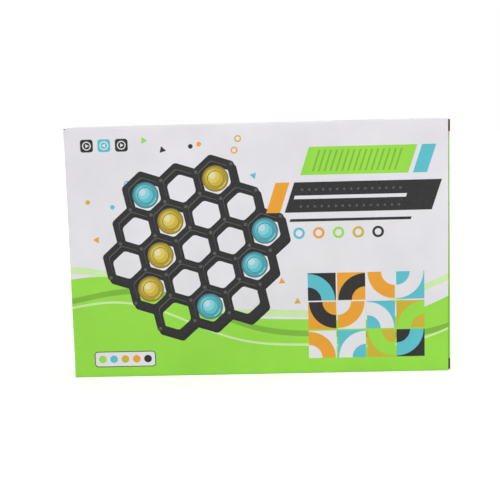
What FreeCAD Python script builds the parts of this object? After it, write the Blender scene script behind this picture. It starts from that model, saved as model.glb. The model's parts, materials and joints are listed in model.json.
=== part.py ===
"""A ball bounce party game in its retail carton, standing on its long edge.

The carton is one folded sheet of fluted board with a hinged closure, a tuck
flap and two dust flaps at each end. A card insert inside holds the peg grid
in two halves, four ball trays with their balls, the cards and the leaflet.

X runs along the width, the front faces -Y, Z is up, and the origin is the
middle of the footprint on the surface that the carton stands on.
"""

import FreeCAD, Part
import os
import re

import Sketcher

# Driving dimensions, in millimetres and degrees
SIZES = {
    "board": 1.8,
    "crease_radius": 1.6,
    "inner_crease": 0.5,
    "crease_gap": 0.12,
    "crease_bevel": 0.6,
    "edge_gap": 0.3,
    "closure_inset": 0.6,
    "slit_length": 10.5,
    "slit_gap": 0.9,
    "tuck_length": 15.0,
    "tuck_tilt": 9.0,
    "tuck_inset": 0.7,
    "tuck_corner": 5.0,
    "tuck_room": 1.2,
    "dust_length": 36.0,
    "dust_root": 2.0,
    "dust_ratio": 0.6,
    "dust_clear": 0.6,
    "dust_side_gap": 0.6,
    "dust_taper_run": 5.5,
    "dust_taper_rise": 20.0,
    "glue_width": 16.0,
    "glue_taper": 5.0,
    "glue_end": 2.0,
    "lap_groove": 0.8,
    "insert_card": 1.0,
    "insert_end_gap": 5.0,
    "insert_front_gap": 0.5,
    "insert_top_gap": 0.4,
    "notch_radius": 14.0,
    "shelf_tab": 12.0,
    "shelf_clear": 1.35,
    "spare_height": 17.0,
    "front_gap": 0.6,
    "grid_columns": 6.0,
    "grid_rows": 3.0,
    "grid_margin": 6.0,
    "grid_corner": 3.0,
    "grid_plate": 3.0,
    "grid_frame": 9.5,
    "grid_wall": 1.8,
    "grid_web": 5.0,
    "hole_diameter": 30.0,
    "peg_diameter": 5.5,
    "peg_height": 19.0,
    "peg_end_gap": 0.5,
    "lobe_radius": 4.5,
    "lobe_gap": 0.2,
    "grid_rest_gap": 0.1,
    "grid_side_gap": 0.5,
    "ball_diameter": 32.0,
    "ball_gap": 2.0,
    "dish_depth": 8.0,
    "dish_gap": 0.3,
    "tray_side": 2.0,
    "tray_end": 4.0,
    "tray_height": 16.5,
    "tray_wall": 1.8,
    "tray_facet": 9.0,
    "tray_gap": 1.0,
    "tray_end_gap": 0.6,
    "card_width": 63.0,
    "card_length": 88.0,
    "card_thickness": 0.4,
    "card_corner": 3.0,
    "card_inset": 32.0,
    "leaflet_width": 100.0,
    "leaflet_length": 112.0,
    "leaflet_thickness": 0.8,
    "leaflet_paper": 0.25,
    "leaflet_gap": 24.0,
}

# Counts of the loose pieces
CARD_COUNT = 12
BALLS_PER_TRAY = 4
TRAY_LAYERS = 2

# Sizes of the game's pieces, written from the driving dimensions
BALL_PITCH = "(ball_diameter + ball_gap)"
DISH_RADIUS = "(ball_diameter / 2 + dish_gap)"
DISH_CENTRE = f"(tray_height - dish_depth + {DISH_RADIUS})"
FIRST_DISH = f"(-{BALL_PITCH} * {BALLS_PER_TRAY - 1} / 2)"
TRAY_LENGTH = f"({BALL_PITCH} * {BALLS_PER_TRAY - 1} + ball_diameter + 2 * tray_end)"
TRAY_WIDTH = "(ball_diameter + 2 * tray_side)"
TRAY_DEPTH = "(tray_height - dish_depth + dish_gap + ball_diameter)"
GRID_PITCH = "(hole_diameter + grid_web)"
GRID_WIDTH = f"(grid_columns * {GRID_PITCH} + 2 * grid_margin)"
GRID_LENGTH = f"(grid_rows * {GRID_PITCH} + grid_margin)"
GRID_LIFT = "(grid_margin + peg_diameter / 2 + grid_rest_gap)"
GRID_DEPTH = "(grid_frame + peg_height + peg_end_gap)"

# The insert is as wide, deep and high inside as the pieces in it need
TRAYS_WIDE = f"(2 * {TRAY_LENGTH} + tray_gap + 2 * tray_end_gap)"
GRID_WIDE = f"({GRID_WIDTH} + {GRID_PITCH} / 2 + 2 * (insert_card + grid_side_gap))"
INSIDE_WIDTH = f"max({TRAYS_WIDE}; {GRID_WIDE})"
INSIDE_DEPTH = f"(max({TRAY_DEPTH}; {GRID_DEPTH} + card_thickness * {CARD_COUNT}) + front_gap)"
FLOOR = "(board + insert_card)"
SHELF_UNDER = f"({FLOOR} + max({GRID_LIFT} + {GRID_LENGTH}; card_length; leaflet_length) + shelf_clear)"
SHELF_TOP = f"({SHELF_UNDER} + insert_card)"
INSERT_TOP = f"({SHELF_TOP} + {TRAY_WIDTH} * {TRAY_LAYERS} + spare_height + insert_card)"
INSERT_HALF = f"({INSIDE_WIDTH} / 2 + insert_card)"

# The carton is as large as the insert and its own flaps need
INNER_X = f"({INSERT_HALF} + insert_end_gap + tuck_length - edge_gap - board * 3 / 2)"
INNER_Y = f"(({INSIDE_DEPTH} + insert_card) / 2)"
CARTON_HEIGHT = f"({INSERT_TOP} + insert_top_gap + 2 * board)"
CARTON_FRONT = f"({INNER_Y} + board)"
DUST_X = f"({INNER_X} + board / 2)"
CUT_X = f"({INNER_X} + board)"
HINGE_X = f"({CUT_X} + edge_gap + board / 2)"
HINGE_Y = f"({INNER_Y} + board / 2)"
TUCK_Y = f"(-{INNER_Y} + edge_gap + board / 2)"
TUCK_REACH = f"({HINGE_Y} - {TUCK_Y})"
TUBE_HALF = f"({INNER_X} - crease_gap)"
INSERT_BACK = f"({INNER_Y} - insert_card)"
INSERT_FRONT = f"(-{INNER_Y} + insert_front_gap)"
GRID_LEFT = f"(-{INSERT_HALF} + 2 * insert_card + grid_side_gap)"
GRID_FRONT = f"({INSERT_BACK} - {GRID_DEPTH})"
CARD_LEFT = f"({GRID_LEFT} + {GRID_PITCH} / 2 + card_inset)"

FACING_FRONT = 90.0
FACING_BACK = -90.0
HALF_TURN = 180.0

DOC = FreeCAD.newDocument("BallBounceGame")
NODES = []


def write_sizes():
    """Put every driving dimension in the sheet as a plain number with its own word."""
    sheet = DOC.addObject("Spreadsheet::Sheet", "Sizes")
    for row, (word, value) in enumerate(SIZES.items(), start=1):
        sheet.set(f"A{row}", word)
        sheet.set(f"B{row}", str(value))
        sheet.setAlias(f"B{row}", word)
    DOC.recompute()


def formula(text):
    """Name the sheet before each size that the text uses."""
    def with_sheet(found):
        word = found.group(0)
        return f"Sizes.{word}" if word in SIZES else word

    return re.sub(r"[a-z_]+", with_sheet, text)


def bind(thing, sizes):
    """Tie properties of an object to formulas of the sizes."""
    for name, text in sizes.items():
        thing.setExpression(name, formula(text))


def place(thing, across="0", depth="0", height="0", axis=(0, 0, 1), turn=0.0, turn_by=None):
    """Set the Placement: a turn about one axis, then a shift bound to the sizes."""
    thing.Placement = FreeCAD.Placement(FreeCAD.Vector(), FreeCAD.Rotation(FreeCAD.Vector(*axis), turn))
    bind(thing, {"Placement.Base.x": across, "Placement.Base.y": depth, "Placement.Base.z": height})
    if turn_by:
        bind(thing, {"Placement.Rotation.Angle": turn_by})


def keep(thing, label):
    """Name a finished sub-part and list it for the export."""
    thing.Label = label
    NODES.append(thing)
    return thing


def new_body(name):
    return DOC.addObject("PartDesign::Body", name)


def origin_of(body, role):
    return next(feature for feature in body.Origin.OriginFeatures if feature.Role == role)


def new_sketch(body, name, plane, offset="0"):
    """A sketch on one of the body's own planes, moved along that plane's normal."""
    sketch = body.newObject("Sketcher::SketchObject", name)
    sketch.AttachmentSupport = [(origin_of(body, plane), "")]
    sketch.MapMode = "FlatFace"
    bind(sketch, {"AttachmentOffset.Base.z": offset})
    return sketch


def pin_point(sketch, curve, point, start, across, up):
    """Hold a point of a curve at a place given by two formulas."""
    for kind, value, text in (("DistanceX", start.x, across), ("DistanceY", start.y, up)):
        number = sketch.addConstraint(Sketcher.Constraint(kind, -1, 1, curve, point, value))
        sketch.setExpression(f"Constraints[{number}]", formula(text))


def draw_outline(sketch, corners):
    """A closed outline of straight lines through corners given as pairs of formulas."""
    first = sketch.GeometryCount
    count = len(corners)
    turn = FreeCAD.Rotation(FreeCAD.Vector(0, 0, 1), 360.0 / count)
    starts = [FreeCAD.Vector(10.0 * (first + 1), 0, 0)]
    for _ in corners[1:]:
        starts.append(turn.multVec(starts[-1]))
    for index in range(count):
        sketch.addGeometry(Part.LineSegment(starts[index], starts[(index + 1) % count]), False)
    for index in range(count):
        sketch.addConstraint(Sketcher.Constraint("Coincident", first + index, 2, first + (index + 1) % count, 1))
    for index, (across, up) in enumerate(corners):
        pin_point(sketch, first + index, 1, starts[index], across, up)


def draw_box(sketch, left, right, low, high):
    draw_outline(sketch, [(left, low), (right, low), (right, high), (left, high)])


def draw_circle(sketch, across, up, radius):
    middle = FreeCAD.Vector(10, 10, 0)
    number = sketch.addGeometry(Part.Circle(middle, FreeCAD.Vector(0, 0, 1), 5.0), False)
    pin_point(sketch, number, 3, middle, across, up)
    size = sketch.addConstraint(Sketcher.Constraint("Radius", number, 5.0))
    sketch.setExpression(f"Constraints[{size}]", formula(radius))


def pad(body, name, sketch, length, side="One side", reverse=False):
    feature = body.newObject("PartDesign::Pad", name)
    feature.Profile = sketch
    feature.SideType = side
    feature.Reversed = reverse
    bind(feature, {"Length": length})
    body.Tip = feature
    return feature


def pocket(body, name, sketch, length=None, reverse=False):
    """A pocket of a given depth, or through everything on both sides."""
    feature = body.newObject("PartDesign::Pocket", name)
    feature.Profile = sketch
    feature.Reversed = reverse
    if length:
        bind(feature, {"Length": length})
    else:
        feature.SideType = "Symmetric"
        feature.Type = "ThroughAll"
    body.Tip = feature
    return feature


def primitive(body, kind, name, sizes, across="0", depth="0", height="0"):
    """An additive or subtractive primitive of a body, placed by formulas."""
    feature = body.newObject(f"PartDesign::{kind}", name)
    feature.AttachmentSupport = [(origin_of(body, "XY_Plane"), "")]
    feature.MapMode = "FlatFace"
    bind(feature, sizes)
    bind(feature, {
        "AttachmentOffset.Base.x": across,
        "AttachmentOffset.Base.y": depth,
        "AttachmentOffset.Base.z": height,
    })
    body.Tip = feature
    return feature


def repeat(body, name, features, step, count, step_up=None, count_up="1"):
    """Copies of features along the body's X axis and, where wanted, its Y axis."""
    feature = body.newObject("PartDesign::LinearPattern", name)
    feature.Originals = features
    feature.Direction = (origin_of(body, "X_Axis"), [""])
    bind(feature, {"Length": f"{step} * ({count} - 1)", "Occurrences": count})
    if step_up:
        feature.Direction2 = (origin_of(body, "Y_Axis"), [""])
        bind(feature, {"Length2": f"{step_up} * ({count_up} - 1)", "Occurrences2": count_up})
    body.Tip = feature
    return feature


def round_edges(body, name, base, radius, wanted):
    """Fillet the straight edges of the base feature that the test picks by middle and direction."""
    DOC.recompute()
    names = []
    for number, edge in enumerate(base.Shape.Edges, start=1):
        if edge.Curve.TypeId != "Part::GeomLine":
            continue
        middle = (edge.Vertexes[0].Point + edge.Vertexes[-1].Point) / 2
        if wanted(middle, edge.tangentAt(edge.FirstParameter)):
            names.append(f"Edge{number}")
    feature = body.newObject("PartDesign::Fillet", name)
    feature.Base = (base, names)
    bind(feature, {"Radius": radius})
    body.Tip = feature
    return feature


def make_carton_tube():
    """Front, top, back and bottom panels folded from one sheet, lapped and glued at the top back edge."""
    body = new_body("CartonTube")
    section = new_sketch(body, "TubeSection", "YZ_Plane")
    draw_box(section, f"-{CARTON_FRONT}", CARTON_FRONT, "0", CARTON_HEIGHT)
    draw_box(section, f"-{INNER_Y}", INNER_Y, "board", f"{CARTON_HEIGHT} - board")
    ring = pad(body, "Tube", section, f"2 * {TUBE_HALF}", side="Symmetric")

    front = new_sketch(body, "FrontOutline", "XZ_Plane", CARTON_FRONT)
    draw_box(front, f"-{HINGE_X} + board / 2 + crease_gap", CUT_X, "0", CARTON_HEIGHT)
    pad(body, "FrontPanel", front, "board", reverse=True)

    back = new_sketch(body, "BackOutline", "XZ_Plane", f"-{CARTON_FRONT}")
    draw_box(back, f"-{CUT_X}", f"{HINGE_X} - board / 2 - crease_gap", "0", f"{CARTON_HEIGHT} - board")
    panels = pad(body, "BackPanel", back, "board")
    DOC.recompute()
    middle_height = ring.Shape.BoundBox.ZMax / 2
    outer_y = ring.Shape.BoundBox.YMax

    def outer_fold(middle, along):
        at_lap = middle.y > 0 and middle.z > middle_height
        outside = abs(middle.y) > outer_y - SIZES["board"] / 2
        at_end = abs(middle.z - middle_height) > middle_height - SIZES["board"] / 2
        return abs(along.x) > 0.9 and outside and at_end and not at_lap

    def inner_fold(middle, along):
        at_lap = middle.y > 0 and middle.z > middle_height
        inside = abs(middle.y) < outer_y - SIZES["board"] / 2
        between = SIZES["board"] / 2 < middle.z < 2 * middle_height - SIZES["board"] / 2
        in_ring = abs(middle.x) < SIZES["board"]
        return abs(along.x) > 0.9 and inside and between and in_ring and not at_lap

    outer = round_edges(body, "OuterFolds", panels, "crease_radius", outer_fold)
    round_edges(body, "InnerFolds", outer, "inner_crease", inner_fold)

    glue_half = f"({HINGE_X} - tuck_length - glue_end)"
    glue = new_sketch(body, "GlueOutline", "XY_Plane", f"{CARTON_HEIGHT} - 2 * board")
    draw_outline(glue, [
        (f"-{glue_half}", INNER_Y),
        (glue_half, INNER_Y),
        (f"{glue_half} - glue_taper", f"{INNER_Y} - glue_width"),
        (f"-{glue_half} + glue_taper", f"{INNER_Y} - glue_width"),
    ])
    pad(body, "GlueFlap", glue, "board")

    lap = new_sketch(body, "LapOutline", "YZ_Plane")
    draw_outline(lap, [
        (CARTON_FRONT, f"{CARTON_HEIGHT} - board"),
        (f"{CARTON_FRONT} - lap_groove", f"{CARTON_HEIGHT} - board"),
        (CARTON_FRONT, f"{CARTON_HEIGHT} - board - lap_groove"),
    ])
    pocket(body, "LapGroove", lap)
    place(body)
    keep(body, "carton_tube")


def make_closure(label, side):
    """An end panel with a rounded crease on the tube's edge and a slit lock at both ends of its tuck edge."""
    body = new_body("Closure")
    tall = f"{CARTON_HEIGHT} - 2 * closure_inset"
    fold = f"(-{TUCK_REACH} + board / 2 + crease_gap)"
    panel = new_sketch(body, "PanelOutline", "XY_Plane", "closure_inset")
    draw_box(panel, "-board / 2", "board / 2", f"-{TUCK_REACH} - board / 2", "0")
    pad(body, "Panel", panel, tall)
    crease = new_sketch(body, "CreaseOutline", "XY_Plane", "closure_inset")
    draw_circle(crease, "0", "0", "board / 2")
    pad(body, "Crease", crease, tall)
    lock = new_sketch(body, "LockOutline", "XY_Plane", "slit_length")
    draw_outline(lock, [
        ("-board", f"-{TUCK_REACH} - board"),
        ("board", f"-{TUCK_REACH} - board"),
        ("board", fold),
        ("board / 2", fold),
        ("-board / 2", f"{fold} + crease_bevel"),
        ("-board", f"{fold} + crease_bevel"),
    ])
    pocket(body, "LockOpening", lock, f"{CARTON_HEIGHT} - 2 * slit_length", reverse=True)
    if side == "right":
        place(body, HINGE_X, HINGE_Y)
    else:
        place(body, f"-{HINGE_X}", f"-{HINGE_Y}", turn=HALF_TURN)
    keep(body, label)


def make_tuck_flap(label, side):
    """The closure's tuck flap, slit from it at both ends, leaning inward behind the panel it tucks under."""
    body = new_body("TuckFlap")
    low = "board + tuck_inset"
    high = f"{CARTON_HEIGHT} - board - tuck_inset"
    slit_low = "slit_length + edge_gap"
    slit_high = f"{CARTON_HEIGHT} - slit_length - edge_gap"
    slit_x = "-board / 2 - slit_gap"
    flap = new_sketch(body, "FlapOutline", "XZ_Plane", "board / 2")
    draw_outline(flap, [
        ("0", slit_low),
        (slit_x, slit_low),
        (slit_x, low),
        ("-tuck_length + tuck_corner", low),
        ("-tuck_length", f"{low} + tuck_corner"),
        ("-tuck_length", f"{high} - tuck_corner"),
        ("-tuck_length + tuck_corner", high),
        (slit_x, high),
        (slit_x, slit_high),
        ("0", slit_high),
    ])
    pad(body, "Flap", flap, "board", reverse=True)
    crease = new_sketch(body, "CreaseOutline", "XY_Plane", slit_low)
    draw_circle(crease, "0", "0", "board / 2")
    pad(body, "Crease", crease, f"{slit_high} - ({slit_low})")
    if side == "right":
        place(body, HINGE_X, TUCK_Y, turn_by="-tuck_tilt")
    else:
        place(body, f"-{HINGE_X}", f"-{TUCK_Y}", turn_by="180 - tuck_tilt")
    keep(body, label)


def make_dust_flap(label, side, end):
    """A dust flap: mitred beside the closure's hinge, so that the closure clears it as both open."""
    body = new_body("DustFlap")
    hinge_side = f"({INNER_Y} - dust_side_gap)"
    tuck_side = f"({TUCK_Y} + board / 2 + tuck_room)"
    mitre = "((dust_length - dust_root) * dust_ratio + dust_clear)"
    flap = new_sketch(body, "FlapOutline", "YZ_Plane", "-board / 2")
    draw_outline(flap, [
        (hinge_side, "0"),
        (hinge_side, "-dust_root"),
        (f"{hinge_side} - {mitre}", "-dust_length"),
        (f"{tuck_side} + dust_taper_run", "-dust_length"),
        (tuck_side, "-dust_length + dust_taper_rise"),
        (tuck_side, "0"),
    ])
    pad(body, "Flap", flap, "board")
    crease = new_sketch(body, "CreaseOutline", "XZ_Plane", f"-{hinge_side}")
    draw_circle(crease, "0", "0", "board / 2")
    pad(body, "Crease", crease, f"{hinge_side} - {tuck_side}")
    across = DUST_X if side == "right" else f"-{DUST_X}"
    if end == "top":
        turn = 0.0 if side == "right" else HALF_TURN
        place(body, across, height=f"{CARTON_HEIGHT} - board / 2", turn=turn)
    else:
        axis = (0, 1, 0) if side == "right" else (1, 0, 0)
        place(body, across, height="board / 2", axis=axis, turn=HALF_TURN)
    keep(body, label)


def make_insert_tray():
    """A folded card tray with its open side to the front panel and a thumb notch in each end wall."""
    body = new_body("InsertTray")
    section = new_sketch(body, "InsertSection", "YZ_Plane")
    draw_box(section, INSERT_FRONT, INNER_Y, "board", INSERT_TOP)
    outer = pad(body, "Insert", section, f"2 * {INSERT_HALF}", side="Symmetric")
    DOC.recompute()
    back = outer.Shape.BoundBox.YMax

    def back_fold(middle, along):
        return middle.y > back - SIZES["insert_card"] / 2 and abs(along.y) < 0.1

    round_edges(body, "InsertFolds", outer, "insert_card", back_fold)
    primitive(body, "SubtractiveBox", "InsertHollow", {
        "Length": f"2 * ({INSERT_HALF} - insert_card)",
        "Width": f"{INSERT_BACK} - {INSERT_FRONT} + insert_card",
        "Height": f"{INSERT_TOP} - insert_card - {FLOOR}",
    }, f"-{INSERT_HALF} + insert_card", f"{INSERT_FRONT} - insert_card", FLOOR)
    notch = new_sketch(body, "NotchOutline", "YZ_Plane")
    draw_circle(notch, INSERT_FRONT, f"({FLOOR} + {SHELF_UNDER}) / 2", "notch_radius")
    pocket(body, "ThumbNotches", notch)
    place(body)
    keep(body, "insert_tray")


def make_insert_shelf():
    """The card shelf between the grid and the ball trays, glued to the end walls by two folded tabs."""
    body = new_body("InsertShelf")
    half = f"({INSERT_HALF} - insert_card)"
    section = new_sketch(body, "ShelfSection", "XZ_Plane", f"-{INSERT_BACK}")
    draw_outline(section, [
        (f"-{half}", f"{SHELF_UNDER} - shelf_tab"),
        (f"-{half} + insert_card", f"{SHELF_UNDER} - shelf_tab"),
        (f"-{half} + insert_card", SHELF_UNDER),
        (f"{half} - insert_card", SHELF_UNDER),
        (f"{half} - insert_card", f"{SHELF_UNDER} - shelf_tab"),
        (half, f"{SHELF_UNDER} - shelf_tab"),
        (half, SHELF_TOP),
        (f"-{half}", SHELF_TOP),
    ])
    pad(body, "Shelf", section, f"{INSERT_BACK} - {INSERT_FRONT}")
    place(body)
    keep(body, "insert_shelf")


def make_grid_half(label, first_hole, first_peg, peg_rows, with_lobes):
    """Half of the peg grid: a holed plate with a skirt, pegs on it, and lobes or notches at the seam.

    In its own frame it lies flat, with the skirt's rim at 0 and the pegs up.
    """
    body = new_body("GridHalf")
    plate = new_sketch(body, "PlateOutline", "XY_Plane")
    draw_box(plate, "0", GRID_WIDTH, "0", GRID_LENGTH)
    block = pad(body, "Plate", plate, "grid_frame")
    seam = GRID_LENGTH if with_lobes else "0"
    seam_is_far = with_lobes

    def free_corner(middle, along):
        far = middle.y > SIZES["grid_margin"]
        return abs(along.z) > 0.9 and far != seam_is_far

    round_edges(body, "Corners", block, "grid_corner", free_corner)
    hollow = new_sketch(body, "HollowOutline", "XY_Plane")
    draw_box(hollow, "grid_wall", f"{GRID_WIDTH} - grid_wall", "grid_wall", f"{GRID_LENGTH} - grid_wall")
    pocket(body, "Hollow", hollow, "grid_frame - grid_plate", reverse=True)

    lobe = new_sketch(body, "LobeOutline", "XY_Plane")
    if with_lobes:
        draw_circle(lobe, "grid_margin", seam, "lobe_radius")
        joint = pad(body, "Lobe", lobe, "grid_frame")
    else:
        draw_circle(lobe, "grid_margin", seam, "lobe_radius + lobe_gap")
        joint = pocket(body, "Notch", lobe)
    repeat(body, "SeamRow", [joint], GRID_PITCH, "grid_columns + 1")

    hole = new_sketch(body, "HoleOutline", "XY_Plane")
    draw_circle(hole, f"grid_margin + {GRID_PITCH} / 2", first_hole, "hole_diameter / 2")
    cut = pocket(body, "Hole", hole)
    repeat(body, "Holes", [cut], GRID_PITCH, "grid_columns", GRID_PITCH, "grid_rows")

    peg = primitive(body, "AdditiveCylinder", "Peg", {
        "Radius": "peg_diameter / 2",
        "Height": "grid_plate + peg_height - peg_diameter / 2",
    }, "grid_margin", first_peg, "grid_frame - grid_plate")
    tip = primitive(body, "AdditiveSphere", "PegTip", {"Radius": "peg_diameter / 2"},
                    "grid_margin", first_peg, "grid_frame + peg_height - peg_diameter / 2")
    repeat(body, "Pegs", [peg, tip], GRID_PITCH, "grid_columns + 1", GRID_PITCH, peg_rows)
    keep(body, label)
    return body


def make_grid():
    """The two halves put away face to face, half a pitch apart, each half's pegs in the other's holes."""
    back_half = make_grid_half("grid_half_with_lobes", f"grid_margin + {GRID_PITCH} / 2",
                               "grid_margin", "grid_rows + 1", True)
    place(back_half, GRID_LEFT, INSERT_BACK, FLOOR, (1, 0, 0), FACING_FRONT)
    front_half = make_grid_half("grid_half_with_notches", f"{GRID_PITCH} / 2", GRID_PITCH, "grid_rows", False)
    place(front_half, f"{GRID_LEFT} + {GRID_PITCH} / 2", GRID_FRONT,
          f"{FLOOR} + {GRID_LIFT} + {GRID_LENGTH}", (1, 0, 0), FACING_BACK)


def make_ball_tray(label, across, height):
    """A moulded tray with faceted ends and four round dishes, open side to the front."""
    body = new_body("BallTray")
    half = f"{TRAY_LENGTH} / 2"
    side = f"{TRAY_WIDTH} / 2"

    def faceted(inset):
        """The tray's outline drawn inward by the inset."""
        long_side = f"({half} - ({inset}))"
        wide_side = f"({side} - ({inset}))"
        start = f"({half} - tray_facet)"
        flat = f"({side} - tray_facet)"
        return [
            (f"-{start}", f"-{wide_side}"), (start, f"-{wide_side}"),
            (long_side, f"-{flat}"), (long_side, flat),
            (start, wide_side), (f"-{start}", wide_side),
            (f"-{long_side}", flat), (f"-{long_side}", f"-{flat}"),
        ]

    outline = new_sketch(body, "TrayOutline", "XY_Plane")
    draw_outline(outline, faceted("0"))
    pad(body, "Tray", outline, "tray_height")
    under = new_sketch(body, "UnderOutline", "XY_Plane")
    draw_outline(under, faceted("tray_wall"))
    pocket(body, "Underside", under, "tray_height - tray_wall", reverse=True)
    cup = primitive(body, "AdditiveSphere", "Cup", {"Radius": f"{DISH_RADIUS} + tray_wall"},
                    FIRST_DISH, "0", DISH_CENTRE)
    repeat(body, "Cups", [cup], BALL_PITCH, str(BALLS_PER_TRAY))
    primitive(body, "SubtractiveBox", "LevelTop", {
        "Length": f"2 * {TRAY_LENGTH}", "Width": f"2 * {TRAY_WIDTH}", "Height": "2 * ball_diameter",
    }, f"-{TRAY_LENGTH}", f"-{TRAY_WIDTH}", "tray_height")
    dish = primitive(body, "SubtractiveSphere", "Dish", {"Radius": DISH_RADIUS}, FIRST_DISH, "0", DISH_CENTRE)
    repeat(body, "Dishes", [dish], BALL_PITCH, str(BALLS_PER_TRAY))
    place(body, across, INSERT_BACK, height, (1, 0, 0), FACING_FRONT)
    keep(body, label)


def make_ball(label, across, height):
    ball = DOC.addObject("Part::Sphere", "Ball")
    bind(ball, {"Radius": "ball_diameter / 2"})
    place(ball, across, f"{INSERT_BACK} - tray_height + dish_depth - dish_gap - ball_diameter / 2", height)
    keep(ball, label)


def make_trays_and_balls():
    """Two trays of each colour in two layers on the shelf, with the balls of their colour in them."""
    apart = f"({TRAY_LENGTH} + tray_gap) / 2"
    colours = (("cyan", "cyan", f"-{apart}"), ("orange", "yellow", apart))
    for layer in range(TRAY_LAYERS):
        height = f"{SHELF_TOP} + {TRAY_WIDTH} * {layer + 0.5}"
        for tray_colour, ball_colour, across in colours:
            make_ball_tray(f"ball_tray_{tray_colour}_{layer + 1}", across, height)
            for seat in range(BALLS_PER_TRAY):
                number = layer * BALLS_PER_TRAY + seat + 1
                make_ball(f"ball_{ball_colour}_{number}", f"{across} + {FIRST_DISH} + {BALL_PITCH} * {seat}", height)


def make_card(label, number):
    body = new_body("Card")
    outline = new_sketch(body, "CardOutline", "XZ_Plane")
    draw_box(outline, "0", "card_width", "0", "card_length")
    sheet = pad(body, "Sheet", outline, "card_thickness")
    round_edges(body, "Corners", sheet, "card_corner", lambda middle, along: abs(along.y) > 0.9)
    place(body, CARD_LEFT, f"{GRID_FRONT} - card_thickness * {number - 1}", FLOOR)
    keep(body, label)


def make_leaflet():
    """The rules leaflet: one sheet folded once, its fold to the left."""
    body = new_body("Leaflet")
    section = new_sketch(body, "LeafletSection", "XY_Plane")
    draw_outline(section, [
        ("0", "0"),
        ("leaflet_width", "0"),
        ("leaflet_width", "leaflet_paper"),
        ("leaflet_paper", "leaflet_paper"),
        ("leaflet_paper", "leaflet_thickness - leaflet_paper"),
        ("leaflet_width", "leaflet_thickness - leaflet_paper"),
        ("leaflet_width", "leaflet_thickness"),
        ("0", "leaflet_thickness"),
    ])
    pad(body, "Leaves", section, "leaflet_length")
    place(body, f"{CARD_LEFT} + card_width + leaflet_gap", f"{GRID_FRONT} - leaflet_thickness", FLOOR)
    keep(body, "rules_leaflet")


def check_and_write():
    """Stop on any failed object or bad shape, then write each sub-part to its own file."""
    DOC.recompute()
    for thing in DOC.Objects:
        faults = [state for state in thing.State if state in ("Invalid", "Error")]
        if faults:
            raise RuntimeError(f"{thing.Label} is {faults}")
    for node in NODES:
        if node.Shape.isNull() or not node.Shape.isValid() or not node.Shape.Solids:
            raise RuntimeError(f"{node.Label} has no valid solid")
    os.makedirs("parts", exist_ok=True)
    for node in NODES:
        node.Shape.exportStep(f"parts/{node.Label}.step")
        size = node.Shape.BoundBox
        print(f"{node.Label}: {len(node.Shape.Solids)} solid, {node.Shape.Volume / 1000:.2f} cm3, "
              f"x {size.XMin:.2f} {size.XMax:.2f}, y {size.YMin:.2f} {size.YMax:.2f}, "
              f"z {size.ZMin:.2f} {size.ZMax:.2f}")


write_sizes()
make_carton_tube()
for side_name in ("right", "left"):
    make_closure(f"{side_name}_closure", side_name)
    make_tuck_flap(f"{side_name}_tuck_flap", side_name)
    for end_name in ("top", "bottom"):
        make_dust_flap(f"{side_name}_{end_name}_dust_flap", side_name, end_name)
make_insert_tray()
make_insert_shelf()
make_grid()
make_trays_and_balls()
for card_number in range(1, CARD_COUNT + 1):
    make_card(f"challenge_card_{card_number:02d}", card_number)
make_leaflet()
check_and_write()
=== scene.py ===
"""The looks of the boxed ball bounce game.

The carton's boards are built as fluted board: a printed liner, wavy fluting and a bare inner liner, each
following the same folded outline as the solid that it stands for. The print is a cover design of its own:
waves, a honeycomb, slanted bars and quarter round tiles. Lengths are in millimetres until a mesh is made.
"""

import json
from cmath import exp, phase
from collections import namedtuple
from functools import cache, partial, partialmethod
from math import ceil, copysign, cos, degrees, inf, pi, radians, sin, sqrt, tan, tau

import bmesh
import bpy
from mathutils import Matrix, Vector
from mathutils.geometry import delaunay_2d_cdt


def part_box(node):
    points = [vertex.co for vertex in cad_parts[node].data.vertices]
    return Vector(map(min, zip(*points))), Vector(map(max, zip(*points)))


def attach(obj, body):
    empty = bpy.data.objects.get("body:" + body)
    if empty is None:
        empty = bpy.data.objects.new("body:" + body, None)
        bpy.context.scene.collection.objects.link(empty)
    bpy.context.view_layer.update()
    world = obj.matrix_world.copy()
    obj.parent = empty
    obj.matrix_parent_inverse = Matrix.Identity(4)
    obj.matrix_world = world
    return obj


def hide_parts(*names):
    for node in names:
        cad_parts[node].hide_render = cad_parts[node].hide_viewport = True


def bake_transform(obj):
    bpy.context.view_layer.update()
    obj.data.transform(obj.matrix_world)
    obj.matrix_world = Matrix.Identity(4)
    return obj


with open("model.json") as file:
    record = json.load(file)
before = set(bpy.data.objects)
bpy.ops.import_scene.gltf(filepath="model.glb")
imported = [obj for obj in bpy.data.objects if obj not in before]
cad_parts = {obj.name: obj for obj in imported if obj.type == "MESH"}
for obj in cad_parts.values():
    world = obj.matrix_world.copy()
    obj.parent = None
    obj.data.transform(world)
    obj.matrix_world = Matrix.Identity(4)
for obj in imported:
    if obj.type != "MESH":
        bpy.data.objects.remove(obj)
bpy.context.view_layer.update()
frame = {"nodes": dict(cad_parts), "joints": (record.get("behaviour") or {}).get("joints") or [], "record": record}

MM = 0.001
TINY = 1e-6


# Sizes read from the frame, in millimetres
def box_mm(node):
    low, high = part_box(node)
    return low / MM, high / MM


def axis_mm(child):
    """A place on the axis of the joint that moves a body."""
    joint = next(joint for joint in frame["joints"] if joint["child"] == child)
    return Vector(joint["pos_m"]) / MM


def rotation(angle, axis):
    return Matrix.Rotation(radians(angle), 3, axis)


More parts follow.
